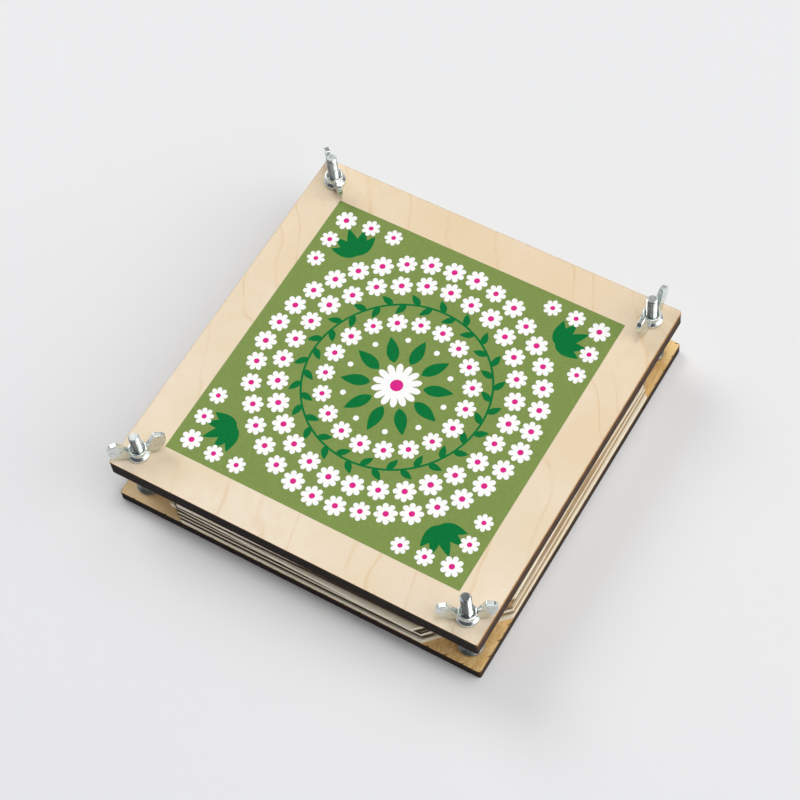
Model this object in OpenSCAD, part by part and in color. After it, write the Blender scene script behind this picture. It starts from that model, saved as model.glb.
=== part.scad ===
// Flower press: two boards drawn together on four bolts, with blotting pads and cards between
// Millimetres. Origin at the centre of the bottom board's underside, +Z up,
// +X along the front left edge of the photograph, from the left corner to the front corner.

/* [Boards] */
// Side of both square boards
board_width = 180; // [120:1:300]
// Thickness of the bottom board
bottom_board_t = 5.3; // [4:0.1:12]
// Thickness of the top board
top_board_t = 8.3; // [4:0.1:14]
// Radius of the boards' upright corners
board_corner_r = 1; // [0.5:0.1:5]
// From a bolt's axis to each of the two nearest board edges
bolt_inset = 9.6; // [8:0.1:16]

/* [Sheets] */
// Strip of board that a centred sheet leaves bare along each side
sheet_margin = 2; // [0.5:0.1:4]
// Thickness of a blotting pad
pad_t = 2.2; // [0.5:0.1:4]
// Thickness of a card
card_t = 1.8; // [0.5:0.05:4]
// Least gap between the lowest pad's cut corner and a lock nut's flange
corner_gap = 0.5; // [0.2:0.1:5]

/* [Bolts] */
// Outside diameter of the thread
bolt_d = 4.9; // [3.5:0.1:6]
// Height of the left bolt's end above the top board
bolt_rise_left = 14.6; // [8:0.1:30]
// Height of the front bolt's end above the top board
bolt_rise_front = 18.3; // [8:0.1:30]
// Height of the right bolt's end above the top board
bolt_rise_right = 16.1; // [8:0.1:30]
// Height of the back bolt's end above the top board
bolt_rise_back = 17.8; // [8:0.1:30]
// Chamfer at the bolts' free ends
bolt_end_chamfer = 0.7; // [0.2:0.1:1.5]
// Diameter of the countersunk heads
head_d = 9.2; // [8:0.1:10]
// Upright rim of the heads
head_rim = 0.3; // [0.1:0.1:0.8]
// Depth of the heads below the board's underside
head_sink = 0.2; // [0.1:0.1:0.6]
// Width of the cross in the heads, from tip to tip
drive_w = 4.4; // [3:0.1:5.5]
// Width of each slot of the cross
drive_slot = 1; // [0.6:0.1:1.4]
// Depth of the cross
drive_depth = 1.5; // [0.8:0.1:2]

/* [Lock nuts] */
// Height of the lock nuts
lock_nut_h = 4.7; // [3.5:0.1:6]
// Width of the hexagon across its flats
lock_nut_af = 8; // [7.5:0.1:9]
// Diameter of the round flange
lock_flange_d = 11.4; // [10.5:0.1:13]
// Upright edge of the flange
lock_flange_t = 1; // [0.5:0.1:1.4]
// Rise of the flange from its edge to the hexagon
lock_flange_rise = 0.8; // [0.3:0.1:1.2]

/* [Wing nuts] */
// Diameter of the seat on the top board
seat_d = 10.1; // [9:0.1:12]
// Thickness of the seat's rim
seat_t = 1.4; // [0.9:0.1:1.8]
// Diameter of the waist above the seat
waist_d = 6.8; // [6.4:0.1:7.4]
// Height of the waist's narrowest place
waist_h = 2.6; // [2.3:0.1:3.2]
// Diameter of the collar round the mouth
collar_d = 8.2; // [7.8:0.1:8.8]
// Height of the collar's upper face
collar_h = 5.1; // [4.6:0.1:6]
// Upright side of the collar
collar_t = 0.8; // [0.6:0.1:1.2]
// Diameter of the sunk mouth
mouth_d = 6.6; // [6:0.1:7]
// Depth of the sunk mouth
mouth_depth = 0.9; // [0.6:0.1:2]
// Height of a wing's inner corner
wing_h = 12.1; // [11.5:0.1:15]
// From the bolt's axis to a wing's inner corner
wing_inner_reach = 8; // [7:0.1:9.5]
// Height of a wing's outer corner
shoulder_h = 10.9; // [9.6:0.1:11.4]
// From the bolt's axis to a wing's outer corner
wing_reach = 13.2; // [12.2:0.1:15]
// From the bolt's axis to the corner that a wing's lower sweep rounds off
heel_reach = 11.4; // [11:0.1:12]
// Clear height below the wings
wing_lift = 0.6; // [0.3:0.1:1]
// Radius of the sweep from the seat to a wing's outer side
sweep_r = 7.5; // [5:0.1:7.8]
// Radius that rounds a wing's outer corner
wing_round_r = 2.8; // [1:0.1:3.2]
// Radius that rounds a wing's inner corner
wing_corner_r = 0.5; // [0.3:0.1:1.2]
// Thickness of a wing at the bolt's axis
wing_root_t = 3.1; // [2.6:0.1:4]
// Thickness of a wing at its tip
wing_tip_t = 2; // [1.5:0.1:2.5]

/* [Clearances] */
// Gap all round between a bolt and its hole in the bottom board
bolt_hole_gap = 0.1; // [0.05:0.05:0.3]
// Gap all round between a bolt and its hole in the top board
slide_gap = 0.3; // [0.1:0.05:0.6]
// Gap all round between a bolt and a nut's thread
thread_gap = 0.05; // [0.02:0.01:0.1]

/* [Hidden] */
$fn = 64;
arc_steps = 5;
sweep_steps = 12;
overrun = 1;

// The four corners, with the sign of each bolt's place and the wing nuts' directions at rest
corners = ["left", "front", "right", "back"];
corner_signs = [[-1, -1], [1, -1], [1, 1], [-1, 1]];
bolt_rises = [bolt_rise_left, bolt_rise_front, bolt_rise_right, bolt_rise_back];
wing_turns = [45.5, 31.4, 88.6, 136.6];
bolt_place = board_width / 2 - bolt_inset;

// The stack from the bottom: pads and cards by turns. Each sheet lies a little off centre,
// by shares of the bare strip, and a little turned
pad_count = 5;
sheet_count = 2 * pad_count - 1;
sheet_shift_shares = [
    [0.95, -0.9], [0.6, -0.55], [0.52, -0.6], [0.38, -0.65], [0.5, -0.62],
    [0.8, -0.9], [0.3, -1.41], [0.6, -0.75], [0.87, -0.7]
];
sheet_turns = [0, 0.5, 0.4, 0.47, 0.52, 0.1, -1.05, 0.72, 1];
stack_h = pad_count * pad_t + (pad_count - 1) * card_t;
sheet_side = board_width - 2 * sheet_margin;

// A sheet's cut corner passes the lock nut's flange also where the sheet lies off centre
flange_r = lock_flange_d / 2;
cut_distance = flange_r + corner_gap + sqrt(2) * sheet_margin;
corner_cut = sheet_side - 2 * bolt_place + sqrt(2) * cut_distance;

top_board_z = bottom_board_t + stack_h;
wing_nut_z = top_board_z + top_board_t;

bolt_r = bolt_d / 2;
nut_r = bolt_r + thread_gap;
head_r = head_d / 2;
head_top = head_sink + head_rim + head_r - bolt_r;

// Small edges of the nuts
lead_in = 0.4;
seat_foot_r = 0.4;
seat_edge_r = 0.6;
waist_fillet_r = 0.5;
collar_edge_r = 0.25;
flange_edge = 0.2;
crown_angle = 30;

function unit(v) = v / norm(v);

// Points of the arc that rounds off corner b, between its neighbours a and c
function corner_arc(a, b, c, r, steps) =
    let (
        to_a = unit(a - b),
        to_c = unit(c - b),
        half = acos(to_a * to_c) / 2,
        centre = b + unit(to_a + to_c) * r / sin(half),
        from = b + to_a * r / tan(half) - centre,
        to = b + to_c * r / tan(half) - centre,
        start = atan2(from[1], from[0]),
        sweep = 180 - 2 * half,
        side = sign(from[0] * to[1] - from[1] * to[0])
    )
    [for (i = [0 : steps]) centre + r * [cos(start + side * sweep * i / steps),
                                         sin(start + side * sweep * i / steps)]];

// An outline whose corners are [x, y, radius, steps], where a radius of 0 keeps the corner
function rounded_outline(list) =
    let (n = len(list), at = function (i) [list[i][0], list[i][1]])
    [for (i = [0 : n - 1])
        each list[i][2] == 0
            ? [at(i)]
            : corner_arc(at((i + n - 1) % n), at(i), at((i + 1) % n), list[i][2], list[i][3])];

function sheet_z(i) = bottom_board_t + ceil(i / 2) * pad_t + floor(i / 2) * card_t;

module at_bolt(c) {
    translate([corner_signs[c][0] * bolt_place, corner_signs[c][1] * bolt_place, 0])
        children();
}

module board_plate(thickness) {
    half = board_width / 2;
    linear_extrude(height = thickness)
        polygon(rounded_outline([for (s = corner_signs)
            [s[0] * half, s[1] * half, board_corner_r, arc_steps]]));
}

// A countersunk bolt's outline, grown all round by a gap for its seat
module bolt_form(top, chamfer, gap) {
    rotate_extrude()
        polygon([
            [0, head_sink - gap],
            [head_r + gap, head_sink - gap],
            [head_r + gap, head_sink + head_rim],
            [bolt_r + gap, head_top],
            [bolt_r + gap, top - chamfer],
            [bolt_r + gap - chamfer, top],
            [0, top]
        ]);
}

module bottom_board() {
    color("burlywood")
        difference() {
            board_plate(bottom_board_t);
            for (c = [0 : 3])
                at_bolt(c) {
                    bolt_form(bottom_board_t + overrun, 0, bolt_hole_gap);
                    translate([0, 0, -overrun])
                        cylinder(r = head_r + bolt_hole_gap, h = overrun + head_sink);
                }
        }
}

module top_board() {
    color("burlywood")
        difference() {
            translate([0, 0, top_board_z])
                board_plate(top_board_t);
            for (c = [0 : 3])
                at_bolt(c)
                    translate([0, 0, top_board_z - overrun])
                        cylinder(r = bolt_r + slide_gap, h = top_board_t + 2 * overrun);
        }
}

module bolt(c) {
    color("lightsteelblue")
        at_bolt(c)
            difference() {
                bolt_form(wing_nut_z + bolt_rises[c], bolt_end_chamfer, 0);
                for (turn = [0, 90])
                    rotate(turn)
                        translate([-drive_w / 2, -drive_slot / 2, 0])
                            cube([drive_w, drive_slot, head_sink + drive_depth]);
            }
}

module lock_nut(c) {
    af_r = lock_nut_af / 2;
    edge_r = af_r / cos(30) + overrun;
    crown_drop = (edge_r - af_r) * tan(crown_angle);
    color("silver")
        at_bolt(c)
            translate([0, 0, bottom_board_t])
                difference() {
                    union() {
                        rotate_extrude()
                            polygon([
                                [0, 0],
                                [flange_r - flange_edge, 0],
                                [flange_r, flange_edge],
                                [flange_r, lock_flange_t],
                                [af_r, lock_flange_t + lock_flange_rise],
                                [0, lock_flange_t + lock_flange_rise]
                            ]);
                        intersection() {
                            cylinder(r = af_r / cos(30), h = lock_nut_h, $fn = 6);
                            rotate_extrude()
                                polygon([
                                    [0, 0],
                                    [edge_r, 0],
                                    [edge_r, lock_nut_h - crown_drop],
                                    [af_r, lock_nut_h],
                                    [0, lock_nut_h]
                                ]);
                        }
                    }
                    translate([0, 0, -overrun])
                        cylinder(r = nut_r, h = lock_nut_h + 2 * overrun);
                    translate([0, 0, lock_nut_h - lead_in])
                        cylinder(r1 = nut_r, r2 = nut_r + lead_in + overrun, h = lead_in + overrun);
                }
}

// The nut's body: seat, waist and collar, turned in one outline round the thread
module wing_nut_boss() {
    rotate_extrude()
        polygon(rounded_outline([
            [nut_r, lead_in, 0],
            [nut_r + lead_in, 0, 0],
            [seat_d / 2, 0, seat_foot_r, arc_steps],
            [seat_d / 2, seat_t, seat_edge_r, arc_steps],
            [waist_d / 2, waist_h, waist_fillet_r, arc_steps],
            [collar_d / 2, collar_h - collar_t, 0],
            [collar_d / 2, collar_h, collar_edge_r, arc_steps],
            [mouth_d / 2, collar_h, 0],
            [nut_r, collar_h - mouth_depth, 0]
        ]));
}

// One wing: its upright outline, cut to the taper that it has when seen from above
module wing() {
    foot = nut_r + lead_in;
    root_h = collar_h - collar_t;
    intersection() {
        rotate([90, 0, 0])
            linear_extrude(height = wing_root_t, center = true)
                polygon(rounded_outline([
                    [foot, wing_lift, 0],
                    [heel_reach, wing_lift, sweep_r, sweep_steps],
                    [wing_reach, shoulder_h, wing_round_r, sweep_steps],
                    [wing_inner_reach, wing_h, wing_corner_r, arc_steps],
                    [waist_d / 2, root_h, 0],
                    [foot, root_h, 0]
                ]));
        linear_extrude(height = wing_h)
            polygon([
                [0, -wing_root_t / 2],
                [wing_reach, -wing_tip_t / 2],
                [wing_reach, wing_tip_t / 2],
                [0, wing_root_t / 2]
            ]);
    }
}

module wing_nut(c) {
    color("gainsboro")
        at_bolt(c)
            translate([0, 0, wing_nut_z])
                rotate(wing_turns[c])
                    union() {
                        wing_nut_boss();
                        wing();
                        rotate(180)
                            wing();
                    }
}

module sheet(i, thickness) {
    half = sheet_side / 2;
    short = half - corner_cut;
    translate([sheet_shift_shares[i][0] * sheet_margin,
               sheet_shift_shares[i][1] * sheet_margin, sheet_z(i)])
        rotate(sheet_turns[i])
            linear_extrude(height = thickness)
                polygon([
                    [-short, -half], [short, -half], [half, -short], [half, short],
                    [short, half], [-short, half], [-half, short], [-half, -short]
                ]);
}

module pad(n) {
    color("ivory")
        sheet(2 * n, pad_t);
}

module card(n) {
    color("tan")
        sheet(2 * n + 1, card_t);
}

bottom_board();
top_board();
for (c = [0 : 3]) {
    bolt(c);
    lock_nut(c);
    wing_nut(c);
}
for (n = [0 : pad_count - 1])
    pad(n);
for (n = [0 : pad_count - 2])
    card(n);
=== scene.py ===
from collections import namedtuple
import math
import random

import bmesh
import bpy
from mathutils import Matrix, Vector
from mathutils.geometry import delaunay_2d_cdt


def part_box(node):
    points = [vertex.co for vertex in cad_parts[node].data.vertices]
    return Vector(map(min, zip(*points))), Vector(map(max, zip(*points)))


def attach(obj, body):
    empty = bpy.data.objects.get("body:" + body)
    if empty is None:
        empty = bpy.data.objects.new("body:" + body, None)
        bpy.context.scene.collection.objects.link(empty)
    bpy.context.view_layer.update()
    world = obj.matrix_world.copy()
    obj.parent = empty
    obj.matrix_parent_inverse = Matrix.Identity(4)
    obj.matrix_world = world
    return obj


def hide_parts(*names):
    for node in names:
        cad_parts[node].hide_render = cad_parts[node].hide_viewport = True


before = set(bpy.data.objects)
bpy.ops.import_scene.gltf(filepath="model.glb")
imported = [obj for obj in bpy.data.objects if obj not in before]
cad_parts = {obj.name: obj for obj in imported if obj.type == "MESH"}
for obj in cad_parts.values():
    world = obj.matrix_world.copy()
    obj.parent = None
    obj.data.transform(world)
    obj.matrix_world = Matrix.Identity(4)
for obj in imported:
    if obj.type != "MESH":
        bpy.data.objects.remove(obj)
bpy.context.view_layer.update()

# Lengths below are in millimetres, and mesh_piece() turns them into metres
MM = 0.001
TURN = 2 * math.pi
CORNERS = ("left", "front", "right", "back")


def node_box(node):
    """A CAD node's lowest and highest corners, in millimetres."""
    low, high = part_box(node)
    return low / MM, high / MM


def linked(name, data):
    """A new object with that data, in the scene."""
    made = bpy.data.objects.new(name, data)
    bpy.context.scene.collection.objects.link(made)
    return made


# ---------------------------------------------------------------- node graphs

# The colour sockets of a Mix node, which share their names with its other sockets
MIX_FACTOR, MIX_A, MIX_B, MIX_RESULT = 0, 6, 7, 2


class Graph:
    """Short calls for building a material's or the world's nodes."""

    def __init__(self, tree):
        self.tree = tree
        self.tree.nodes.clear()

    def node(self, kind, **settings):
        made = self.tree.nodes.new("ShaderNode" + kind)
        for key, value in settings.items():
            setattr(made, key, value)
        return made

    def put(self, socket, value):
        """Links a socket to another node's output, or sets it to a plain value."""
        if isinstance(value, bpy.types.NodeSocket):
            self.tree.links.new(value, socket)
        else:
            socket.default_value = value

    def fed(self, made, *values):
        """Gives a node's first sockets their values, and returns its first output."""
        for socket, value in zip(made.inputs, values):
            self.put(socket, value)
        return made.outputs[0]

    def math(self, operation, *values):
        return self.fed(self.node("Math", operation=operation), *values)

    def add(self, a, b):
        return self.math("ADD", a, b)

    def less(self, a, b):
        return self.math("SUBTRACT", a, b)

    def times(self, a, b):
        return self.math("MULTIPLY", a, b)

    def over(self, a, b):
        return self.math("DIVIDE", a, b)

    def size(self, value):
        return self.math("ABSOLUTE", value)

    def axes(self, vector):
        made = self.node("SeparateXYZ")
        self.put(made.inputs[0], vector)
        return made.outputs[0], made.outputs[1], made.outputs[2]

    def mix(self, factor, a, b, blend="MIX"):
        made = self.node("Mix", data_type="RGBA", blend_type=blend)
        for socket, value in ((MIX_FACTOR, factor), (MIX_A, a), (MIX_B, b)):
            self.put(made.inputs[socket], value)
        return made.outputs[MIX_RESULT]

    def fade(self, value, low, high, to_low=0.0, to_high=1.0):
        """Smooth step of value from to_low at low to to_high at high."""
        made = self.node("MapRange", interpolation_type="SMOOTHSTEP")
        return self.fed(made, value, low, high, to_low, to_high)

    def noise(self, vector, scale, detail, roughness):
        made = self.node("TexNoise")
        self.put(made.inputs["Vector"], vector)
        made.inputs["Scale"].default_value = scale
        made.inputs["Detail"].default_value = detail
        made.inputs["Roughness"].default_value = roughness
        return made.outputs[0]

    def grain(self, vector, rates, detail, roughness):
        """Noise with a rate of its own along each axis."""
        stretched = self.fed(self.node("VectorMath", operation="MULTIPLY"), vector, rates)
        return self.noise(stretched, 1.0, detail, roughness)

    def bump(self, height, strength, distance):
        made = self.node("Bump")
        made.inputs["Strength"].default_value = strength
        made.inputs["Distance"].default_value = distance
        self.put(made.inputs["Height"], height)
        return made.outputs["Normal"]


def srgb(red, green, blue):
    """A colour given as 0 to 255, as the linear colour that renders so."""
    def linear(level):
        level /= 255
        return level / 12.92 if level <= 0.04045 else ((level + 0.055) / 1.055) ** 2.4
    return (linear(red), linear(green), linear(blue), 1.0)


def material(name, specular=None):
    """A new material with its graph, its shader, and the object's places in millimetres
    and normals."""
    made = bpy.data.materials.new(name)
    made.use_nodes = True
    graph = Graph(made.node_tree)
    shader = graph.node("BsdfPrincipled")
    if specular is not None:
        shader.inputs["Specular IOR Level"].default_value = specular
    graph.put(graph.node("OutputMaterial").inputs["Surface"], shader.outputs[0])
    coordinates = graph.node("TexCoord")
    place = graph.fed(graph.node("VectorMath", operation="SCALE"), coordinates.outputs["Object"])
    place.node.inputs["Scale"].default_value = 1 / MM
    return made, graph, shader, place, coordinates.outputs["Normal"]


# ---------------------------------------------------------------- plywood

HALF_SIDE = 90.0
PLIES = 5
FACE_PLY, FACE_PLY_WARM = srgb(240, 225, 202), srgb(236, 217, 187)
RING_LINE, FLECK_TONE = srgb(220, 182, 124), srgb(250, 240, 222)
TOASTED, BURNT = srgb(196, 132, 78), srgb(62, 40, 26)
PORE_TONE, STREAK_TONE = srgb(168, 118, 52), srgb(206, 158, 88)
CROSS_PLY, CHAR_BLOTCH, CHAR_STREAK = srgb(20, 16, 16), srgb(26, 21, 21), srgb(118, 94, 74)

# The laser-cut sides. Those that face front-left and back-right take one darker tone and a
# darker arris, which are painted shade, and the foot, body and top ply are for the other two
Cut = namedtuple("Cut", "front_side foot body top_ply arris")
TOP_CUT = Cut(front_side=srgb(36, 28, 27), foot=srgb(56, 45, 42), body=srgb(83, 64, 54),
              top_ply=srgb(188, 140, 84), arris=srgb(88, 52, 30))
LOWER_CUT = Cut(front_side=srgb(42, 33, 33), foot=srgb(50, 46, 49), body=srgb(65, 53, 42),
                top_ply=srgb(110, 86, 54), arris=srgb(62, 42, 26))

# Growth lines, by where they cross the middle of the board. They lean over as they go along Y,
# by so much a millimetre and with one slow bend
RINGS = (-105, -82, -63, -50, -19, -6, 12, 35, 60, 94, 106, 130)
RING_CORE, RING_WIDTHS, RING_STRENGTHS = 0.15, (0.9, 1.35, 1.8), (0.24, 0.34)
RING_LEAN, RING_BEND, RING_BEND_START, RING_BEND_LENGTH = 0.56, -11.2, 20.0, 110

# Noises: the rate a millimetre, or one each along X, Y and Z, then detail and roughness
RING_WARP, RING_BREAKS = ((0.03, 0.015, 0.0), 2.0, 0.5), ((0.15, 0.05, 0.0), 2.0, 0.5)
WOOD_FIBRE, WOOD_FLECK = ((2.6, 0.12, 1.0), 3.0, 0.6), ((1.4, 0.3, 1.0), 2.0, 0.5)
WOOD_PORES, WOOD_STREAKS = ((1.3, 0.8, 1.0), 4.0, 0.75), ((0.55, 0.1, 0.0), 2.0, 0.6)
WOOD_MOTTLE, WOOD_CLOUD = (0.24, 3.0, 0.6), (0.022, 2.0, 0.5)
RIM_REACH, BURN_LENGTH = ((0.6, 0.6, 0.0), 2.0, 0.7), ((0.06, 0.06, 0.0), 2.0, 0.7)
CHAR_STREAKS, CHAR_BLOTCHES = ((1.3, 1.3, 0.3), 3.0, 0.65), (0.16, 2.0, 0.5)

# Fades: from one value to another, and what they make at either end, or else 0 and 1
RING_WANDER, RING_GAPS = (0.2, 0.8, -7.0, 7.0), (0.35, 0.6, 0.35, 1.0)
CLOUD_SHOWS, MOTTLE_SHOWS = (0.35, 0.7), (0.42, 0.68, 0.0, 0.5)
FIBRE_SHOWS, FLECK_SHOWS = (0.52, 0.78, 0.0, 0.14), (0.62, 0.74, 0.0, 0.2)
TINT_SPAN = (-60.0, 75.0)
RIM_REACHES, RIM_FADES = (0.45, 0.75, 0.25, 0.7), (0.3, 1.2, 0.5, 0.0)
BURN_LENGTHS, BURN_TAPERS = (0.35, 0.65, 0.2, 1.5), (0.1, 1.0, 0.085, 0.0)
BURN_EDGE, BURN_ENDS = (-0.03, 0.01, 1.0, 0.0), (1.4, 1.8, 0.8, 0.0)
PORES_SHOW, PORES_PLACE = (0.48, 0.68, 0.0, 0.62), (60.0, 165.0)
STREAKS_SHOW, STREAKS_PLACE = (0.42, 0.62, 0.0, 0.5), (40.0, 84.0)
CHAR_RAGGED, CROSS_PLY_SHOWS = (0.2, 0.8, -0.09, 0.09), (0.4, 0.6, 0.0, 0.16)
FOOT_ENDS, TOP_PLY_STARTS = (0.08, 0.34), (0.76, 0.86)
CHAR_BLOTCH_SHOWS, CHAR_STREAK_SHOWS = (0.42, 0.68, 0.0, 0.3), (0.55, 0.75, 0.0, 0.22)
WOOD_ROUGHNESS = (0.3, 0.7, 0.55, 0.68)
# The same for how far a surface faces along X, or up or down
FACES_X, IS_FACE = (0.4, 0.7), (0.35, 0.9)
ARRIS_STARTS, ARRIS_ENDS = (0.15, 0.5), (0.8, 0.98, 0.85, 0.0)
FIBRE_RELIEF, STREAK_RELIEF = (0.4, 0.9), (0.9, 0.4)
BURN_START, WOOD_SHEEN, WOOD_BUMP = 3.0, 0.06, (0.35, 0.08 * MM)


def growth_lines(g, place, x, y):
    """How much of a growth line there is at each place of a face."""
    angle = g.times(g.add(y, RING_BEND_START), math.pi / RING_BEND_LENGTH)
    lean = g.add(g.times(y, RING_LEAN), g.times(g.math("COSINE", angle), RING_BEND))
    across = g.add(g.add(x, lean), g.fade(g.grain(place, *RING_WARP), *RING_WANDER))
    line = 0.0
    for k, at in enumerate(RINGS):
        distance = g.size(g.less(across, float(at)))
        width = RING_WIDTHS[k % len(RING_WIDTHS)]
        strength = RING_STRENGTHS[k % len(RING_STRENGTHS)]
        line = g.math("MAXIMUM", line, g.fade(distance, RING_CORE, width, strength, 0.0))
    return g.times(line, g.fade(g.grain(place, *RING_BREAKS), *RING_GAPS))


def burnt(g, place, x, y, rim, pitch, face):
    """The lower board's face: burnt marks where the cutting bed carried it, at a pitch along
    the rim, dark pores near its front corner and streaks near its right side."""
    beat = g.math("FRACT", g.over(g.add(g.less(y, x), BURN_START), pitch))
    off_mark = g.size(g.less(beat, 0.5))
    length = g.fade(g.grain(place, *BURN_LENGTH), *BURN_LENGTHS)
    half_width = g.fade(g.over(rim, length), *BURN_TAPERS)
    mark = g.fade(g.less(off_mark, half_width), *BURN_EDGE)
    face = g.mix(g.times(mark, g.fade(rim, *BURN_ENDS)), face, BURNT)
    pore = g.fade(g.grain(place, *WOOD_PORES), *PORES_SHOW)
    face = g.mix(g.times(pore, g.fade(g.less(x, y), *PORES_PLACE)), face, PORE_TONE)
    streak = g.fade(g.grain(place, *WOOD_STREAKS), *STREAKS_SHOW)
    return g.mix(g.times(streak, g.fade(x, *STREAKS_PLACE)), face, STREAK_TONE)


def charred(g, place, share, side_x, streak, cut):
    """The cut sides: plies by turns along and across, with char streaks up the cut. The sides
    that face along Y take one darker tone, which is painted shade.
    """
    cross_ply = g.math("FLOORED_MODULO", g.math("FLOOR", g.times(share, float(PLIES))), 2.0)
    ragged = g.add(share, g.fade(streak, *CHAR_RAGGED))
    along = g.mix(g.fade(ragged, *FOOT_ENDS), cut.foot, cut.body)
    along = g.mix(g.fade(ragged, *TOP_PLY_STARTS), along, cut.top_ply)
    # Painted shade: the sides that face along Y take the one darker tone
    char = g.mix(side_x, cut.front_side, along)
    char = g.mix(g.fade(cross_ply, *CROSS_PLY_SHOWS), char, CROSS_PLY)
    blotch = g.noise(place, *CHAR_BLOTCHES)
    char = g.mix(g.fade(blotch, *CHAR_BLOTCH_SHOWS), char, CHAR_BLOTCH)
    return g.mix(g.fade(streak, *CHAR_STREAK_SHOWS), char, CHAR_STREAK)


def plywood(name, z_low, z_high, cut, face_tint, far_tint, tint_way, burn_pitch=0.0):
    """Birch plywood, laser cut: pale faces with faint growth lines, and charred sides, of which
    those that face along Y are painted darker as shade. The faces' tint goes from face_tint to
    far_tint along tint_way, a direction in X and Y; a tint above white paints light onto the face."""
    made, g, shader, place, normal = material(name, WOOD_SHEEN)
    x, y, z = g.axes(place)
    line = growth_lines(g, place, x, y)
    fibre, fleck = g.grain(place, *WOOD_FIBRE), g.grain(place, *WOOD_FLECK)
    mottle, cloud = g.noise(place, *WOOD_MOTTLE), g.noise(place, *WOOD_CLOUD)
    face = g.mix(g.fade(cloud, *CLOUD_SHOWS), FACE_PLY, FACE_PLY_WARM)
    face = g.mix(g.fade(mottle, *MOTTLE_SHOWS), face, FACE_PLY_WARM)
    face = g.mix(line, face, RING_LINE)
    face = g.mix(g.fade(fibre, *FIBRE_SHOWS), face, RING_LINE)
    face = g.mix(g.fade(fleck, *FLECK_SHOWS), face, FLECK_TONE)
    towards = g.add(g.times(x, tint_way[0]), g.times(y, tint_way[1]))
    tint = g.mix(g.fade(towards, *TINT_SPAN), face_tint, far_tint)
    face = g.mix(1.0, face, tint, "MULTIPLY")
    # The toasted rim of the faces
    rim = g.less(HALF_SIDE, g.math("MAXIMUM", g.size(x), g.size(y)))
    reach = g.fade(g.grain(place, *RIM_REACH), *RIM_REACHES)
    face = g.mix(g.fade(g.over(rim, reach), *RIM_FADES), face, TOASTED)
    if burn_pitch:
        face = burnt(g, place, x, y, rim, burn_pitch, face)
    share = g.over(g.less(z, z_low), z_high - z_low)
    side_x = g.fade(g.size(g.axes(normal)[0]), *FACES_X)
    streak = g.grain(place, *CHAR_STREAKS)
    char = charred(g, place, share, side_x, streak, cut)
    facing = g.size(g.axes(normal)[2])
    arris = g.times(g.fade(facing, *ARRIS_STARTS), g.fade(facing, *ARRIS_ENDS))
    colour = g.mix(g.fade(facing, *IS_FACE), char, face)
    # The arris: painted darker as shade on the sides that face along Y
    colour = g.mix(arris, colour, g.mix(side_x, cut.arris, cut.top_ply))
    g.put(shader.inputs["Base Color"], colour)
    g.put(shader.inputs["Roughness"], g.fade(fibre, *WOOD_ROUGHNESS))
    relief = g.add(g.times(fibre, g.fade(facing, *FIBRE_RELIEF)),
                   g.times(streak, g.fade(facing, *STREAK_RELIEF)))
    g.put(shader.inputs["Normal"], g.bump(relief, *WOOD_BUMP))
    return made


# ---------------------------------------------------------------- other materials

# Noises and fades, given as for the plywood
INK_FIBRE, INK_MOTTLE = ((2.6, 0.09, 1.0), 3.0, 0.6), (0.9, 3.0, 0.7)
INK_MOTTLE_SHOWS, INK_FIBRE_SHOWS = (0.3, 0.75), (0.55, 0.78, 0.0, 0.35)
INK_ROUGHNESS, INK_BUMP = (0.2, 0.8, 0.42, 0.58), (0.2, 0.05 * MM)

ZINC_GRAIN, ZINC_CLOUD = (5.0, 4.0, 0.7), (0.5, 3.0, 0.6)
HANDLING_MARKS = ((1.6, 7.0, 2.2), 4.0, 0.75)
ZINC_CLOUD_SHOWS, MARKS_SHOW = (0.35, 0.7), (0.62, 0.75, 0.0, 0.5)
ZINC_ROUGH_SPAN, ROUGHER_MARKS = 0.08, (0.55, 0.75, 0.0, 0.12)
MARK_TONE, MARK_RELIEF, ZINC_BUMP = srgb(160, 162, 162), 0.6, 0.2

PAPER_FIBRE, PAPER_SPECKS = ((1.2, 2.4, 3.0), 5.0, 0.7), ((2.2, 3.1, 4.0), 2.0, 0.8)
PAPER_CLOUD, PAPER_CLOUD_SHOWS = (0.05, 3.0, 0.5), (0.3, 0.7)
PAPER_FIBRE_SHOWS, SPECKS_SHOW = (0.45, 0.7, 0.0, 0.45), (0.7, 0.78, 0.0)
IS_LINER, FLUTES_SHOW, FLUTE_RELIEF = (0.9, 0.98), (-1.0, 1.0, 0.0, 0.18), 0.8
PAPER_ROUGHNESS, PAPER_SHEEN, PAPER_BUMP = 0.93, 0.15, (0.4, 0.1 * MM)
# Painted shade at the ends of the flutes: it starts inside the sheets' front and back edges,
# and stops short of the cut corners
FACES_Y, DARK_ALONG_Y, DARK_ALONG_X = (0.4, 0.8, 0.0, 0.85), (83.5, 86.2), (86.5, 84.0)


def ink(name, colour, deeper, sheen):
    """Printing ink: slightly uneven, with the wood's fibres just showing through."""
    made, g, shader, place, _ = material(name, sheen)
    fibre, mottle = g.grain(place, *INK_FIBRE), g.noise(place, *INK_MOTTLE)
    tone = g.mix(g.fade(mottle, *INK_MOTTLE_SHOWS), colour, deeper)
    tone = g.mix(g.fade(fibre, *INK_FIBRE_SHOWS), tone, deeper)
    g.put(shader.inputs["Base Color"], tone)
    g.put(shader.inputs["Roughness"], g.fade(mottle, *INK_ROUGHNESS))
    g.put(shader.inputs["Normal"], g.bump(fibre, *INK_BUMP))
    return made


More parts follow.
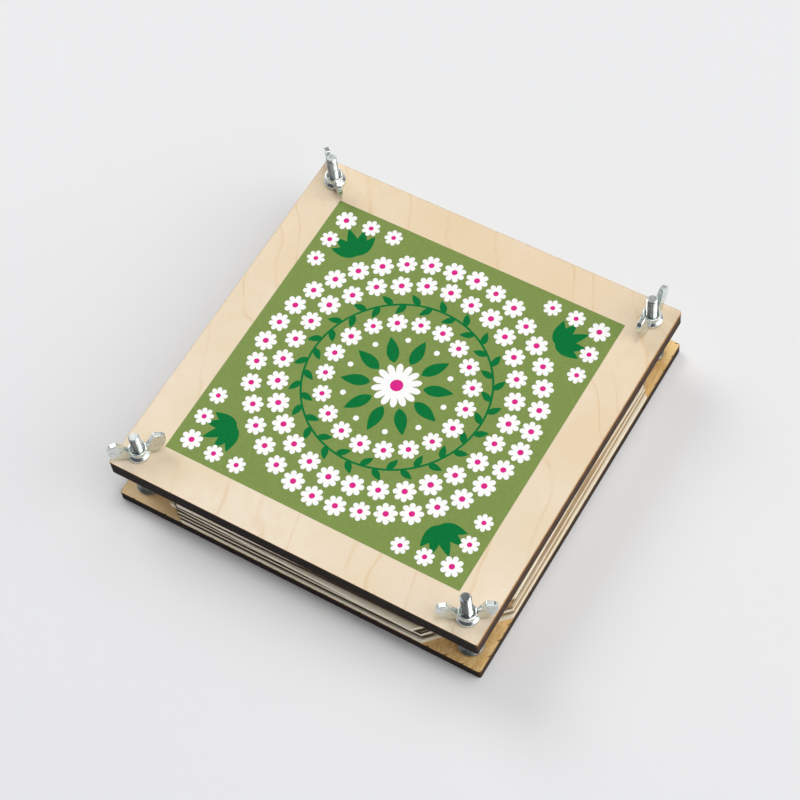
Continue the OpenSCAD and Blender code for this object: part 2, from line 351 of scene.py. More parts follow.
def zinc(name, low_rough, bump_depth, bright, dull):
    """Zinc plating with a faint green cast, a fine grain and small handling marks."""
    made, g, shader, place, _ = material(name)
    grain, cloud = g.noise(place, *ZINC_GRAIN), g.noise(place, *ZINC_CLOUD)
    mark = g.grain(place, *HANDLING_MARKS)
    tone = g.mix(g.fade(cloud, *ZINC_CLOUD_SHOWS), bright, dull)
    tone = g.mix(g.fade(mark, *MARKS_SHOW), tone, MARK_TONE)
    g.put(shader.inputs["Base Color"], tone)
    shader.inputs["Metallic"].default_value = 1.0
    rough = g.add(g.fade(cloud, 0.3, 0.7, low_rough, low_rough + ZINC_ROUGH_SPAN),
                  g.fade(mark, *ROUGHER_MARKS))
    g.put(shader.inputs["Roughness"], rough)
    relief = g.add(grain, g.times(mark, MARK_RELIEF))
    g.put(shader.inputs["Normal"], g.bump(relief, ZINC_BUMP, bump_depth * MM))
    return made


def paper(name, light, dark, speck, speck_share, line_pitch=0.0, cut_end_and_shade=None, painted_flute_shade=0.0):
    """Fibrous paper or card, with specks, and the flutes just showing where line_pitch is given.

    The ends that face front and back take a darker colour, partly cut fibre and partly painted
    shade; near those ends it is also painted into the flutes, as shade, by the share given last."""
    made, g, shader, place, normal = material(name, PAPER_SHEEN)
    x, y, _ = g.axes(place)
    fibre, specks = g.grain(place, *PAPER_FIBRE), g.grain(place, *PAPER_SPECKS)
    tone = g.mix(g.fade(g.noise(place, *PAPER_CLOUD), *PAPER_CLOUD_SHOWS), light, dark)
    tone = g.mix(g.fade(fibre, *PAPER_FIBRE_SHOWS), tone, dark)
    tone = g.mix(g.fade(specks, *SPECKS_SHOW, speck_share), tone, speck)
    relief = fibre
    if line_pitch:
        facing = g.fade(g.size(g.axes(normal)[2]), *IS_LINER)
        wave = g.math("SINE", g.times(x, TURN / line_pitch))
        tone = g.mix(g.times(facing, g.fade(wave, *FLUTES_SHOW)), tone, dark)
        relief = g.add(fibre, g.times(wave, g.times(facing, FLUTE_RELIEF)))
    # The ends that face front and back: partly darker cut fibre, partly painted shade
    if cut_end_and_shade:
        tone = g.mix(g.fade(g.size(g.axes(normal)[1]), *FACES_Y), tone, cut_end_and_shade)
    # Painted shade inside the flutes near the front and back ends
    if painted_flute_shade:
        flute_shade_mask = g.times(g.fade(g.size(y), *DARK_ALONG_Y), g.fade(g.size(x), *DARK_ALONG_X))
        tone = g.mix(g.times(flute_shade_mask, painted_flute_shade), tone, cut_end_and_shade)
    g.put(shader.inputs["Base Color"], tone)
    shader.inputs["Roughness"].default_value = PAPER_ROUGHNESS
    g.put(shader.inputs["Normal"], g.bump(relief, *PAPER_BUMP))
    return made


# ---------------------------------------------------------------- meshes

def mesh_piece(name, points, faces, materials, body, smooth=(), kinds=None, replaced=()):
    """A mesh from points in millimetres, riding on its body. smooth holds the numbers of the
    faces that aren't flat, and kinds a material number for each face."""
    mesh = bpy.data.meshes.new(name)
    mesh.from_pydata([Vector(p) * MM for p in points], [], faces)
    for entry in materials:
        mesh.materials.append(entry)
    smooth_faces = set(smooth)
    for face in mesh.polygons:
        face.use_smooth = face.index in smooth_faces
        if kinds:
            face.material_index = kinds[face.index]
    mesh.validate()
    piece = linked(name, mesh)
    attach(piece, body)
    if replaced:
        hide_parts(*replaced)
    return piece


def added(points, new):
    """Adds new points and returns their numbers."""
    first = len(points)
    points += new
    return list(range(first, len(points)))


def band(below, above):
    """Quads between two closed rings of point numbers that run the same way."""
    return list(zip(below, below[1:] + below[:1], above[1:] + above[:1], above))


def circle(centre, radius, count, start=0.0):
    """Points round a circle."""
    return [(centre[0] + radius * math.cos(start + TURN * i / count),
             centre[1] + radius * math.sin(start + TURN * i / count)) for i in range(count)]


def triangulated(loops, tolerance):
    """Triangles inside 2-D loops: the points, the triangles, and for each point and triangle
    the numbers of the points and of the loops that it comes from."""
    inside_only, with_sources = 1, True
    points = []
    numbers = [added(points, [Vector(p) for p in loop]) for loop in loops]
    made = delaunay_2d_cdt(points, [], numbers, inside_only, tolerance, with_sources)
    corners, _, triangles, point_sources, _, loop_sources = made
    return corners, triangles, point_sources, loop_sources


def apply_modifiers(piece):
    """Turns a piece's modifiers into plain mesh."""
    bpy.context.view_layer.update()
    graph = bpy.context.evaluated_depsgraph_get()
    mesh = bpy.data.meshes.new_from_object(piece.evaluated_get(graph))
    piece.modifiers.clear()
    piece.data = mesh


# ---------------------------------------------------------------- boards

CORNER_RADIUS, SHARP_RADIUS = 1.0, 0.05
OUTLINE_STEP, BEND_STEPS, HOLE_STEPS = 1.2, 6, 48
# How far plies stand in, half the height of the step between two, and the width of an arris
PLY_RELIEF, HALF_STEP, ARRIS = 0.04, 0.06, 0.09
# How uneven the cut is, and how its ripples run along and up it
CUT_ROUGH, RIPPLE_ALONG, RIPPLE_UP = 0.03, 2.1, 1.7
# Nicks are short torn places along the upper arris: steps to either side, depth, and how much
# of the depth goes into the side and down
NICK_WIDTHS, NICK_DEPTHS, NICK_IN, NICK_DOWN = (0, 1, 1), (0.12, 0.4), 0.8, 0.9
FILL_TOLERANCE = 1e-6


def square_ring(half, inset):
    """A board's rounded outline, cut into short steps and moved in by inset."""
    half, radius = half - inset, max(CORNER_RADIUS - inset, SHARP_RADIUS)
    straight = half - radius
    steps = int(2 * straight / OUTLINE_STEP)
    angles = [i * math.pi / (2 * BEND_STEPS) for i in range(BEND_STEPS)]
    quarter_ring = [(half, -straight + 2 * straight * i / steps) for i in range(steps)]
    quarter_ring += [(straight + radius * math.cos(a), straight + radius * math.sin(a))
                     for a in angles]
    ring = []
    for quarter in range(4):
        turn = Matrix.Rotation(quarter * math.pi / 2, 2)
        ring += [turn @ Vector(p) for p in quarter_ring]
    return ring


def ply_levels(z_low, z_high):
    """Heights up a board's side and how far in it stands at each. Every second ply stands in."""
    levels = [(z_low, ARRIS), (z_low + ARRIS, 0.0)]
    for k in range(1, PLIES):
        z = z_low + (z_high - z_low) * k / PLIES
        below, above = (0.0, PLY_RELIEF) if k % 2 else (PLY_RELIEF, 0.0)
        levels += [(z - HALF_STEP, below), (z + HALF_STEP, above)]
    return levels + [(z_high - ARRIS, 0.0), (z_high, ARRIS)]


def board(name, node, body, wood, hole_profile, seed, nicks):
    """A laser-cut board: plies that stand a little in or out, sharp arrises, and its four
    holes, whose profile gives heights and radii."""
    low, high = node_box(node)
    rng = random.Random(seed)
    ring = square_ring(high.x, 0)
    inward = [(core - edge).normalized()
              for edge, core in zip(ring, square_ring(high.x, CORNER_RADIUS))]
    count = len(ring)
    nick = [0.0] * count
    for _ in range(nicks):
        middle, width = rng.randrange(count), rng.choice(NICK_WIDTHS)
        depth = rng.uniform(*NICK_DEPTHS)
        for i in range(-width, width + 1):
            at = (middle + i) % count
            nick[at] = max(nick[at], depth * (1 - abs(i) / (width + 1)))
    points, rings = [], []
    levels = ply_levels(low.z, high.z)
    for k, (z, inset) in enumerate(levels):
        uneven = []
        for i, (edge, way) in enumerate(zip(ring, inward)):
            ripple = math.sin(i * RIPPLE_ALONG + k * RIPPLE_UP)
            rough = CUT_ROUGH * (0.5 + 0.5 * ripple) * rng.random()
            drop = 0.0
            if k == len(levels) - 1:
                rough += nick[i] * NICK_IN
            elif k == len(levels) - 2:
                drop = nick[i] * NICK_DOWN
            place = edge + way * (inset + rough)
            uneven.append((place.x, place.y, z - drop))
        rings.append(added(points, uneven))
    faces = []
    for below, above in zip(rings, rings[1:]):
        faces += band(below, above)
    # Holes, each a turned wall from the underside to the upper face
    hole_ends = []
    for centre in bolt_places:
        walls = [added(points, [(*p, z) for p in circle(centre, radius, HOLE_STEPS)])
                 for z, radius in hole_profile]
        for below, above in zip(walls, walls[1:]):
            faces += band(above, below)
        hole_ends.append((walls[0], walls[-1]))
    smooth = range(len(faces))
    # The two faces: triangles that fill the outline, which is loop 0, except its holes
    for top in (False, True):
        loops = [rings[-1] if top else rings[0]] + [ends[1 if top else 0] for ends in hole_ends]
        numbers = [i for loop in loops for i in loop]
        flat = [[points[i][:2] for i in loop] for loop in loops]
        _, triangles, point_sources, loop_sources = triangulated(flat, FILL_TOLERANCE)
        for triangle, sources in zip(triangles, loop_sources):
            if not any(sources):
                corners = [numbers[point_sources[i][0]] for i in triangle]
                faces.append(corners if top else corners[::-1])
    mesh_piece(name, points, faces, [wood], body, smooth, replaced=(node,))


# ---------------------------------------------------------------- sheets

SHEET_STEP = 3.0
LEAVES, LEAF_GAP, LEAF_INSETS, LEAF_ROUGH = 4, 0.035, (0.03, 0.3), 0.05
LINER_INSET, LINER_ROUGH = 0.05, 0.04
FLUTE_PITCH, FLUTE_STEPS = 3.65, 12
LINER, FLUTE_WALL = 0.22, 0.2
# The flutes stop short of the sheet's edges, and bite a little into the liners
FLUTE_SHORT_X, FLUTE_SHORT_Y, FLUTE_BITE = 0.15, 0.7, 0.01


def sheet_frame(node):
    """A cut-cornered sheet's eight corners, centre, turn and heights, read from its CAD solid."""
    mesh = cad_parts[node].data
    low, high = node_box(node)
    corners = {(round(v.co.x / MM, 3), round(v.co.y / MM, 3)) for v in mesh.vertices}
    centre = Vector((sum(p[0] for p in corners), sum(p[1] for p in corners))) / len(corners)
    ordered = sorted(corners, key=lambda p: math.atan2(p[1] - centre.y, p[0] - centre.x))
    sides = [Vector(b) - Vector(a) for a, b in zip(ordered, ordered[1:] + ordered[:1])]
    longest = max(sides, key=lambda s: s.length)
    turn = math.atan2(longest.y, longest.x) % (math.pi / 2)
    turn = turn - math.pi / 2 if turn > math.pi / 4 else turn
    spin = Matrix.Rotation(-turn, 2)
    local = sorted((tuple(spin @ (Vector(p) - centre)) for p in ordered),
                   key=lambda p: math.atan2(p[1], p[0]))
    return local, centre, turn, low.z, high.z


def cut_outline(local, inset, rng, rough):
    """The sheet's outline in its own frame, moved in and slightly uneven as a cut edge is."""
    half = max(p[0] for p in local)
    ring = []
    for a, b in zip(local, local[1:] + local[:1]):
        a, b = Vector(a), Vector(b)
        steps = max(int((b - a).length / SHEET_STEP), 1)
        out = Vector(((b - a).y, -(b - a).x)).normalized()
        for i in range(steps):
            place = a + (b - a) * i / steps
            shrunk = place * (1 - inset / half)
            ring.append(shrunk - out * rng.uniform(0, rough))
    return ring


def placed(points, centre, turn):
    """Points of a sheet's own frame, turned and moved to where the sheet lies."""
    spin = Matrix.Rotation(turn, 2)
    made = []
    for x, y, z in points:
        flat = spin @ Vector((x, y)) + centre
        made.append((flat.x, flat.y, z))
    return made


def slab(points, faces, ring, z_low, z_high):
    """Adds a closed flat plate with that outline to points and faces."""
    below, above = (added(points, [(p.x, p.y, z) for p in ring]) for z in (z_low, z_high))
    faces += band(below, above)
    faces += [tuple(below[::-1]), tuple(above)]


def pad(node, body, cream, seed):
    """A blotting pad: four leaves of soft paper, no two quite flush."""
    local, centre, turn, z_low, z_high = sheet_frame(node)
    rng = random.Random(seed)
    leaf_t = (z_high - z_low - LEAF_GAP * (LEAVES - 1)) / LEAVES
    points, faces = [], []
    for k in range(LEAVES):
        ring = cut_outline(local, rng.uniform(*LEAF_INSETS), rng, LEAF_ROUGH)
        z = z_low + k * (leaf_t + LEAF_GAP)
        slab(points, faces, ring, z, z + leaf_t)
    mesh_piece(node + "_leaves", placed(points, centre, turn), faces, [cream], body,
               replaced=(node,))


def card(node, body, kraft, medium, seed):
    """Corrugated card: two liners and a fluted middle whose flutes run from front to back."""
    local, centre, turn, z_low, z_high = sheet_frame(node)
    rng = random.Random(seed)
    points, faces, smooth = [], [], []
    for z in (z_low, z_high - LINER):
        outline = cut_outline(local, LINER_INSET, rng, LINER_ROUGH)
        slab(points, faces, outline, z, z + LINER)
    kinds = [0] * len(faces)
    # The flutes' half width, and how much of it lies between the cut corners. Of the eight
    # corners, four lie at the one distance along X and four at the other
    half = max(p[0] for p in local) - FLUTE_SHORT_X
    short = sorted(abs(p[0]) for p in local)[3] - FLUTE_SHORT_X
    middle = (z_low + z_high) / 2
    swing = (z_high - z_low) / 2 - LINER - FLUTE_WALL / 2 + FLUTE_BITE
    steps = int(2 * half / FLUTE_PITCH * FLUTE_STEPS)
    phase = rng.uniform(0, TURN)
    first = len(points)
    for i in range(steps + 1):
        x = -half + 2 * half * i / steps
        reach = half - FLUTE_SHORT_Y - max(abs(x) - short, 0)
        angle = TURN * x / FLUTE_PITCH + phase
        z = middle + swing * math.sin(angle)
        slope = swing * math.cos(angle) * 2 * math.pi / FLUTE_PITCH
        tilt = math.hypot(1, slope)
        for side in (-1, 1):
            dx, dz = -slope / tilt * FLUTE_WALL / 2 * side, FLUTE_WALL / 2 * side / tilt
            points += [(x + dx, -reach, z + dz), (x + dx, reach, z + dz)]
    for i in range(steps):
        a, b = first + 4 * i, first + 4 * i + 4
        smooth += [len(faces), len(faces) + 1]
        faces += [(a + 1, b + 1, b, a), (a + 2, b + 2, b + 3, a + 3),
                  (a, b, b + 2, a + 2), (a + 3, b + 3, b + 1, a + 1)]
    last = first + 4 * steps
    faces += [(first, first + 2, first + 3, first + 1), (last + 1, last + 3, last + 2, last)]
    kinds += [1] * (len(faces) - len(kinds))
    mesh_piece(node + "_corrugated", placed(points, centre, turn), faces, [kraft, medium], body,
               smooth, kinds, (node,))


# ---------------------------------------------------------------- bolts and nuts

THREAD_PITCH, THREAD_DEPTH = 0.8, 0.46
# A thread's outline over one turn: shares of the pitch and of the depth
THREAD_FORM = ((0.0, 0.0), (0.14, 0.0), (0.42, 1.0), (0.54, 1.0), (0.62, 1.0), (0.9, 0.12))
BOLT_RADIUS, BOLT_CHAMFER, BOLT_COLUMNS = 2.45, 0.7, 40
# How far the thread reaches down into the lock nut
THREAD_IN_NUT = 1.5
# The head's rim, how it blends into the cone, and the broken edge of its flat
HEAD_RIM, HEAD_BLEND, HEAD_EDGE = 0.3, 0.04, 0.08
# The cross drive's ends: depth in the head, reach of an arm, and half its width at the root
CROSS_ENDS = ((-0.3, 2.3, 0.62), (1.55, 0.95, 0.34))
CROSS_TAPER = 0.8
MERGE, SLIVER, SHARP_ANGLE = 0.004, 0.001, 32
SOFTEN_FACTOR = 0.5


def bolt_ring_point(centre, i, z, radius):
    """The point of column i on a bolt."""
    angle = TURN * i / BOLT_COLUMNS
    return (centre.x + radius * math.cos(angle), centre.y + radius * math.sin(angle), z)


def thread(centre, z_start, z_end):
    """A screw surface that climbs one pitch a turn from z_start, where it fades in, to z_end."""
    turns = int((z_end - z_start) / THREAD_PITCH) + 3
    rows = [(k + share, depth) for k in range(turns) for share, depth in THREAD_FORM]
    points, faces = [], []
    for row, depth in rows:
        for i in range(BOLT_COLUMNS):
            z = z_start + THREAD_PITCH * (row - 1.5 + i / BOLT_COLUMNS)
            z = min(max(z, z_start), z_end)
            cut = min(max((z - z_start) / THREAD_PITCH, 0.0), 1.0) * THREAD_DEPTH * depth
            cone = BOLT_RADIUS - BOLT_CHAMFER
            if z < z_end:
                cone = BOLT_RADIUS - max(z - (z_end - BOLT_CHAMFER), 0.0)
            points.append(bolt_ring_point(centre, i, z, min(BOLT_RADIUS - cut, cone)))

    def number(row, i):
        """A point's number. After the last column comes the first, one turn higher."""
        if i == BOLT_COLUMNS:
            row, i = row + len(THREAD_FORM), 0
        return row * BOLT_COLUMNS + i

    for row in range(len(rows) - 1):
        for i in range(BOLT_COLUMNS):
            corners = (number(row, i), number(row, i + 1),
                       number(row + 1, i + 1), number(row + 1, i))
            if max(corners) < len(points):
                faces.append(corners)
    return points, faces


def bolt(corner, metal):
    """A countersunk bolt with a rolled thread and a cross in its head."""
    node = "bolt_" + corner
    low, high = node_box(node)
    centre = (low + high) / 2
    head_r, rim = (high.x - low.x) / 2, low.z + HEAD_RIM
    z_start = node_box("lock_nut_" + corner)[1].z - THREAD_IN_NUT
    points, faces = thread(centre, z_start, high.z)
    # Plain shank and head, from the thread's start down to the rim of the head, and the end
    profile = [(z_start, BOLT_RADIUS), (rim + head_r - BOLT_RADIUS, BOLT_RADIUS),
               (rim + HEAD_BLEND, head_r - HEAD_BLEND), (rim, head_r),
               (low.z + HEAD_EDGE, head_r), (low.z, head_r - HEAD_EDGE),
               (high.z, BOLT_RADIUS - BOLT_CHAMFER)]
    rings = [added(points, [bolt_ring_point(centre, i, z, r) for i in range(BOLT_COLUMNS)])
             for z, r in profile]
    end = rings.pop()
    for above, below in zip(rings, rings[1:]):
        faces += band(below, above)
    smooth = range(len(faces))
    faces += [tuple(rings[-1][::-1]), tuple(end)]
    piece = mesh_piece(f"{node}_threaded", points, faces, [metal], "base",
                       smooth, replaced=(node,))
    joined = bmesh.new()
    joined.from_mesh(piece.data)
    bmesh.ops.remove_doubles(joined, verts=joined.verts, dist=MERGE * MM)
    bmesh.ops.dissolve_degenerate(joined, edges=joined.edges, dist=SLIVER * MM)
    bmesh.ops.recalc_face_normals(joined, faces=joined.faces)
    joined.to_mesh(piece.data)
    joined.free()
    cut_cross(piece, centre, low.z)
    piece.data.set_sharp_from_angle(angle=math.radians(SHARP_ANGLE))


def cut_cross(piece, centre, z):
    """Cuts a tapered cross drive into a bolt's head."""
    points = []
    for depth, reach, width in CROSS_ENDS:
        outline = []
        for quarter in range(4):
            turn = Matrix.Rotation(quarter * math.pi / 2, 2)
            outline += [turn @ Vector((width, -width)),
                        turn @ Vector((reach, -width * CROSS_TAPER)),
                        turn @ Vector((reach, width * CROSS_TAPER))]
        points += [((centre.x + p.x) * MM, (centre.y + p.y) * MM, (z + depth) * MM)
                   for p in outline]
    outer, inner = list(range(12)), list(range(12, 24))
    faces = [tuple(outer), tuple(inner[::-1])]
    faces += zip(outer, inner, inner[1:] + inner[:1], outer[1:] + outer[:1])
    mesh = bpy.data.meshes.new("cross")
    mesh.from_pydata(points, [], faces)
    cutter = linked("cross", mesh)
    shaped = bmesh.new()
    shaped.from_mesh(mesh)
    bmesh.ops.recalc_face_normals(shaped, faces=shaped.faces)
    shaped.to_mesh(mesh)
    shaped.free()
    modifier = piece.modifiers.new("cross", "BOOLEAN")
    modifier.operation, modifier.object, modifier.solver = "DIFFERENCE", cutter, "EXACT"
    apply_modifiers(piece)
    bpy.data.objects.remove(cutter)


def formed(node, body, metal, voxel, rounds, suffix):
    """A copy of a CAD nut whose edges are softened as forming and plating leave them."""
    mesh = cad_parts[node].data.copy()
    mesh.name = node + suffix
    mesh.materials.clear()
    mesh.materials.append(metal)
    piece = linked(node + suffix, mesh)
    remesh = piece.modifiers.new("voxels", "REMESH")
    remesh.mode, remesh.voxel_size, remesh.use_smooth_shade = "VOXEL", voxel * MM, True
    smooth = piece.modifiers.new("soften", "SMOOTH")
    smooth.factor, smooth.iterations = SOFTEN_FACTOR, rounds
    apply_modifiers(piece)
    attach(piece, body)
    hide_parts(node)


# ---------------------------------------------------------------- the printed square

PRINT_HALF, PRINT_CENTRE = 144.42 / 2, Vector((-0.49, 0.07))
PRINT_CORNERS = [(-PRINT_HALF, -PRINT_HALF), (PRINT_HALF, -PRINT_HALF),
                 (PRINT_HALF, PRINT_HALF), (-PRINT_HALF, PRINT_HALF)]
# How far the film of ink stands above the wood, and reaches into it
FILM, FILM_TOLERANCE = 0.02, 1e-5
OLIVE, GREEN, WHITE, MAGENTA = 0, 1, 2, 3

# The design, in millimetres from its middle and radians. A leaf is its length and width
DESIGN_SEED = 11
GARLAND_RADIUS, GARLAND_HALF = 41.4, 0.5
GARLAND_LEAVES, GARLAND_LEAF, GARLAND_SPREAD = 44, (6.8, 3.2), 0.85
ROSETTE_SIZE, ROSETTE_PETALS, ROSETTE_NOTCH = 11.0, 14, 0.42
ROSETTE_LEAVES, ROSETTE_LEAF, ROSETTE_LEAF_FROM = 10, (13.5, 5.6), 11.5
ROSETTE_DOTS, DOT_SIZE = 23.2, 1.3
# Each ring of daisies: how many, its radius and their size
DAISY_RINGS = ((19, 32.2, 4.7), (29, 51.6, 5.1), (36, 62.7, 5.0))
DAISY_PETALS, DAISY_NOTCH, DAISY_START, EYE_SHARE = 8, 0.4, 0.11, 0.27
DAISY_SHIFTS, DAISY_SIZES, LOBE_POWER = (-0.5, 0.5), (0.92, 1.04), 0.55
# Each corner's spray: its leaves' turns, how much shorter a turned one is, and its daisies'
# radius, angle and size
SPRAY_FROM, SPRAY_LEAVES = 70.5, (-0.95, -0.5, 0.0, 0.5, 0.95)
SPRAY_LEAF, SPRAY_SHORTER = (15.5, 5.2), 3
SPRAY_DAISIES = ((90.5, 0.0, 5.0), (83.5, 0.115, 4.3), (83.5, -0.115, 4.3),
                 (77.0, 0.235, 4.2), (77.0, -0.235, 4.2))
# A leaf is widest before its middle, and its sides swell
LEAF_WIDEST, LEAF_SWELL = 0.8, 0.9
# Steps along a petal's, a leaf's, a small round's and a wide round's outline
PETAL_STEPS, LEAF_STEPS, DOT_STEPS, ROUND_STEPS = 10, 9, 12, 96


def polar(radius, angle):
    """A place by its distance from the middle and its angle."""
    return (radius * math.cos(angle), radius * math.sin(angle))


def daisy(centre, radius, petals, turn, notch):
    """A round flower's outline, with one lobe for each petal."""
    count = petals * PETAL_STEPS
    ring = []
    for i in range(count):
        angle = TURN * i / count
        lobe = abs(math.cos(angle * petals / 2)) ** LOBE_POWER
        reach = radius * (1 - notch + notch * lobe)
        ring.append((centre[0] + reach * math.cos(angle + turn),
                     centre[1] + reach * math.sin(angle + turn)))
    return ring


def leaf(root, length, width, turn):
    """A pointed oval leaf from its root."""
    shares = [i / LEAF_STEPS for i in range(1, LEAF_STEPS)]
    side = [(length * share, width / 2 * math.sin(math.pi * share ** LEAF_WIDEST) ** LEAF_SWELL)
            for share in shares]
    ring = [(0.0, 0.0)] + [(x, -y) for x, y in side] + [(length, 0.0)] + side[::-1]
    spin = Matrix.Rotation(turn, 2)
    return [tuple(spin @ Vector(p) + Vector(root)) for p in ring]


def printed_shapes():
    """The design: a round garland and rings of daisies about a rosette, with a spray in each
    corner. Each shape is its ink and outline, and lies over the ones before it."""
    rng = random.Random(DESIGN_SEED)
    shapes = [(OLIVE, PRINT_CORNERS)]
    for colour, radius in ((GREEN, GARLAND_RADIUS + GARLAND_HALF),
                           (OLIVE, GARLAND_RADIUS - GARLAND_HALF)):
        shapes.append((colour, circle((0, 0), radius, ROUND_STEPS)))
    for i in range(ROSETTE_LEAVES):
        angle = TURN * (i + 0.5) / ROSETTE_LEAVES
        shapes.append((GREEN, leaf(polar(ROSETTE_LEAF_FROM, angle), *ROSETTE_LEAF, angle)))
        dot = polar(ROSETTE_DOTS, angle + math.pi / ROSETTE_LEAVES)
        shapes.append((WHITE, circle(dot, DOT_SIZE, DOT_STEPS)))
    for i in range(GARLAND_LEAVES):
        angle, side = TURN * i / GARLAND_LEAVES, 1 if i % 2 else -1
        turn = angle + math.pi / 2 - side * GARLAND_SPREAD
        shapes.append((GREEN, leaf(polar(GARLAND_RADIUS, angle), *GARLAND_LEAF, turn)))
    flowers = [((0.0, 0.0), ROSETTE_SIZE, ROSETTE_PETALS, ROSETTE_NOTCH)]
    for count, radius, size in DAISY_RINGS:
        for i in range(count):
            angle = TURN * i / count + DAISY_START
            place = polar(radius + rng.uniform(*DAISY_SHIFTS), angle)
            size_here = size * rng.uniform(*DAISY_SIZES)
            flowers.append((place, size_here, DAISY_PETALS, DAISY_NOTCH))
    for quarter in range(4):
        diagonal = math.pi / 4 + quarter * math.pi / 2
        root, (length, width) = polar(SPRAY_FROM, diagonal), SPRAY_LEAF
        for spread in SPRAY_LEAVES:
            reach = length - SPRAY_SHORTER * abs(spread)
            shapes.append((GREEN, leaf(root, reach, width, diagonal + spread)))
        for radius, offset, size in SPRAY_DAISIES:
            flowers.append((polar(radius, diagonal + offset), size, DAISY_PETALS, DAISY_NOTCH))
    for centre, size, petals, notch in flowers:
        turn = rng.uniform(0, TURN)
        shapes.append((WHITE, daisy(centre, size, petals, turn, notch)))
        shapes.append((MAGENTA, circle(centre, size * EYE_SHARE, DOT_STEPS, turn)))
    return shapes


def printed_square(inks):
    """One thin film of ink, divided by its colours and closed by its four sides and back."""
    top = node_box("top_board")[1].z
    kinds, loops = zip(*printed_shapes())
    corners, triangles, _, sources = triangulated(loops, FILM_TOLERANCE)
    points = [(p.x + PRINT_CENTRE.x, p.y + PRINT_CENTRE.y, top + FILM) for p in corners]
    faces = [tuple(triangle) for triangle in triangles]
    face_kinds = [kinds[max(found)] for found in sources]
    upper = len(points)
    back = added(points, [(x + PRINT_CENTRE.x, y + PRINT_CENTRE.y, top - FILM)
                          for x, y in PRINT_CORNERS])
    front = [min(range(upper), key=lambda i: math.dist(points[i][:2], points[k][:2]))
             for k in back]
    faces += band(back, front)
    faces.append(tuple(back[::-1]))
    face_kinds += [OLIVE] * (len(faces) - len(face_kinds))
    mesh_piece("printed_square", points, faces, inks, "upper_board", kinds=face_kinds)


# ---------------------------------------------------------------- the object

bolt_places = []
for corner in CORNERS:
    low, high = node_box("bolt_" + corner)
    bolt_places.append(((low.x + high.x) / 2, (low.y + high.y) / 2))

# The lower board's holes are countersunk from below
COUNTERSINK_RADIUS, COUNTERSINK_FROM, COUNTERSINK_TO, LOWER_HOLE = 4.7, 0.5, 2.65, 2.55
UPPER_HOLE = 2.75
low, high = node_box("bottom_board")
# The lower board's face is painted lighter than the wood towards its left end, as painted light
# for the shaded space between the boards; towards its right end it is more golden
lower_wood = plywood("lower_plywood", low.z, high.z, LOWER_CUT,
                     srgb(262, 250, 222), srgb(257, 237, 192), (1.0, 0.0), 8.2)
board("lower_plywood_board", "bottom_board", "base", lower_wood,
      ((0.0, COUNTERSINK_RADIUS), (COUNTERSINK_FROM, COUNTERSINK_RADIUS),
       (COUNTERSINK_TO, LOWER_HOLE), (high.z, LOWER_HOLE)), seed=3, nicks=40)
low, high = node_box("top_board")
upper_wood = plywood("upper_plywood", low.z, high.z, TOP_CUT,
                     srgb(255, 255, 255), srgb(254, 249, 241), (0.0, 1.0))
board("upper_plywood_board", "top_board", "upper_board", upper_wood,
      ((low.z, UPPER_HOLE), (high.z, UPPER_HOLE)), seed=8, nicks=14)

printed_square([
    ink("olive_ink", srgb(129, 150, 76), srgb(121, 142, 68), 0.2),
    ink("green_ink", srgb(0, 121, 58), srgb(0, 110, 51), 0.06),
    ink("white_ink", srgb(254, 253, 251), srgb(250, 249, 246), 0.3),
    ink("magenta_ink", srgb(228, 38, 143), srgb(216, 30, 131), 0.1),
])

metal = zinc("zinc_plating", 0.12, 0.02, srgb(226, 231, 228), srgb(202, 209, 206))
cast_metal = zinc("zinc_plated_casting", 0.2, 0.04, srgb(226, 231, 228), srgb(204, 210, 208))
# The lock nuts' zinc is painted darker, as shade under the upper board
shade_painted_nut_metal = zinc("zinc_plated_nut_painted_shade", 0.26, 0.04, srgb(158, 164, 162), srgb(132, 138, 137))
for corner in CORNERS:
    bolt(corner, metal)
    formed("lock_nut_" + corner, "base", shade_painted_nut_metal, 0.18, 2, "_formed")
    formed("wing_nut_" + corner, corner + "_wing_nut", cast_metal, 0.17, 4, "_cast")

cream = paper("blotting_paper", srgb(248, 241, 222), srgb(240, 230, 206), srgb(205, 190, 160), 0.3)
for n in range(1, 6):
    pad(f"pad_{n}", "base" if n == 1 else f"loose_pad_{n}", cream, seed=20 + n)
# The card's ends that face front and back are darker, partly cut fibre and partly painted shade
kraft = paper("kraft_card", srgb(206, 180, 144), srgb(190, 161, 124), srgb(120, 88, 58), 0.5,
              line_pitch=FLUTE_PITCH, cut_end_and_shade=srgb(76, 62, 52), painted_flute_shade=0.72)
# The flutes' ends are painted near black, as shade in the flutes
medium = paper("kraft_flutes", srgb(174, 146, 110), srgb(152, 124, 92), srgb(80, 58, 40), 0.5,
               cut_end_and_shade=srgb(16, 13, 10), painted_flute_shade=0.93)
for n in range(1, 5):
    card(f"card_{n}", f"loose_card_{n}", kraft, medium, seed=30 + n)

# ---------------------------------------------------------------- floor, light and camera

FLOOR_HALF = 12  # metres
# The floor is painted a little darker towards the front, as painted shade where the light falls
# off
FLOOR_SHADE_SPAN, FLOOR_WANDER = (-260.0, 60.0), (0.3, 0.7, -20.0, 20.0)
FLOOR_MOTTLE, FLOOR_ROUGHNESS, FLOOR_SHEEN = (0.004, 2.0, 0.5), 0.9, 0.1
FLOOR_TONES = srgb(231, 231, 232), srgb(237, 237, 237)
# A pale wall low all round, and a dim ceiling: where one ends and the other starts, and how
# bright each is
WALL_TO_CEILING = (0.18, 0.36, 0.72, 0.09)
WORLD_COLOUR = (0.94, 0.97, 1.06, 1.0)
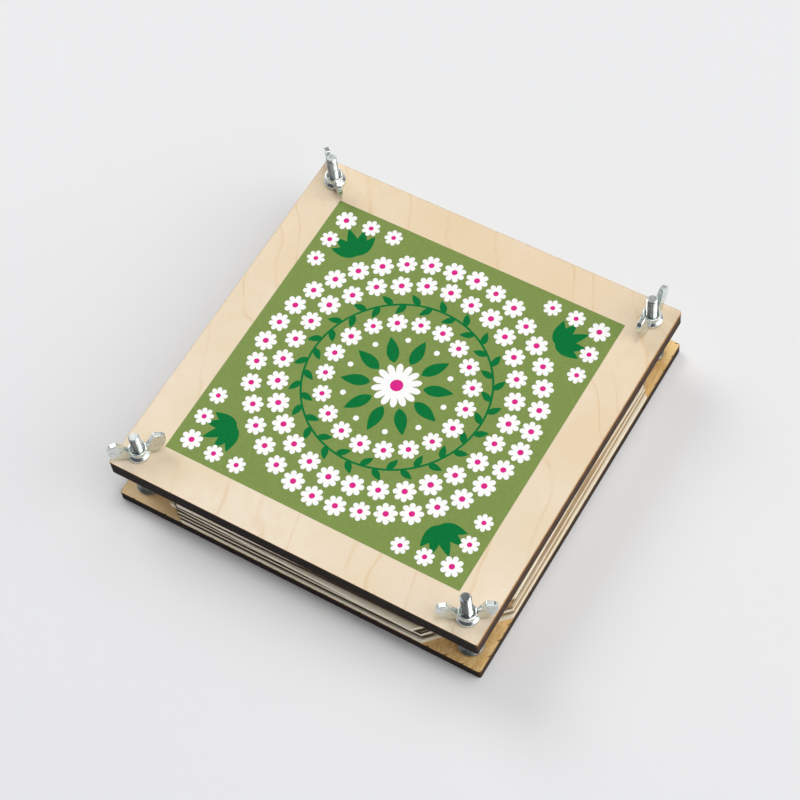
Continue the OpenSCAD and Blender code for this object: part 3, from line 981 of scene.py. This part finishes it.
# Suns: azimuth from +X towards +Y, elevation and width in degrees, and share of the floor's light
SUNS = (("overhead_box", 56.9, 81.9, 14.6, 0.212), ("right_box", 9.1, 63.1, 42.2, 0.208),
        ("left_box", 156.9, 39.2, 31.4, 0.17), ("low_right_box", 24.0, 21.5, 42.0, 0.08),
        ("back_box", 90.0, 45.0, 40.0, 0.07), ("high_left_box", 152.0, 50.0, 32.0, 0.055),
        ("side_box", 0.0, 36.0, 30.0, 0.05), ("low_left_box", 200.0, 22.0, 40.0, 0.015),
        ("low_front_box", -28.0, 13.0, 36.0, 0.012))
# The camera: place in metres, turns about Z, X and Z in degrees, lens and sensor in millimetres
CAMERA_PLACE = (0.316159, -0.405646, 0.869395)
CAMERA_TURNS = (("Z", 37.918178), ("X", 31.197802), ("Z", -8.668564))
CAMERA_LENS, CAMERA_SENSOR = 103.2466, 36.0
CAMERA_NEAR, CAMERA_FAR = 0.05, 50

floor_mesh = bpy.data.meshes.new("floor")
floor_mesh.from_pydata([(-FLOOR_HALF, -FLOOR_HALF, 0), (FLOOR_HALF, -FLOOR_HALF, 0),
                        (FLOOR_HALF, FLOOR_HALF, 0), (-FLOOR_HALF, FLOOR_HALF, 0)],
                       [], [(0, 1, 2, 3)])
floor_paint, g, shader, place, _ = material("floor_paint", FLOOR_SHEEN)
# Painted shade: the floor darkens towards the front
depth = g.add(g.axes(place)[1], g.fade(g.noise(place, *FLOOR_MOTTLE), *FLOOR_WANDER))
g.put(shader.inputs["Base Color"], g.mix(g.fade(depth, *FLOOR_SHADE_SPAN), *FLOOR_TONES))
shader.inputs["Roughness"].default_value = FLOOR_ROUGHNESS
floor_mesh.materials.append(floor_paint)
floor = linked("floor", floor_mesh)

world = bpy.data.worlds.new("studio")
bpy.context.scene.world = world
world.use_nodes = True
g = Graph(world.node_tree)
up = g.axes(g.node("TexCoord").outputs["Generated"])[2]
background = g.node("Background")
background.inputs["Color"].default_value = WORLD_COLOUR
g.put(background.inputs["Strength"], g.fade(up, *WALL_TO_CEILING))
g.put(g.node("OutputWorld").inputs["Surface"], background.outputs[0])

for name, azimuth, elevation, width, share in SUNS:
    azimuth, elevation = math.radians(azimuth), math.radians(elevation)
    towards = Vector((math.cos(elevation) * math.cos(azimuth),
                      math.cos(elevation) * math.sin(azimuth), math.sin(elevation)))
    lamp = bpy.data.lights.new(name, "SUN")
    lamp.energy, lamp.angle = math.pi * share / math.sin(elevation), math.radians(width)
    holder = linked(name, lamp)
    holder.rotation_mode = "QUATERNION"
    holder.rotation_quaternion = towards.to_track_quat("Z", "Y")

camera_data = bpy.data.cameras.new("camera")
camera_data.lens, camera_data.sensor_width = CAMERA_LENS, CAMERA_SENSOR
camera_data.clip_start, camera_data.clip_end = CAMERA_NEAR, CAMERA_FAR
camera = linked("camera", camera_data)
first, second, third = (Matrix.Rotation(math.radians(angle), 4, axis)
                        for axis, angle in CAMERA_TURNS)
camera.matrix_world = Matrix.Translation(CAMERA_PLACE) @ (first @ second @ third)
bpy.context.scene.camera = camera
bpy.context.scene.view_settings.view_transform = "Standard"
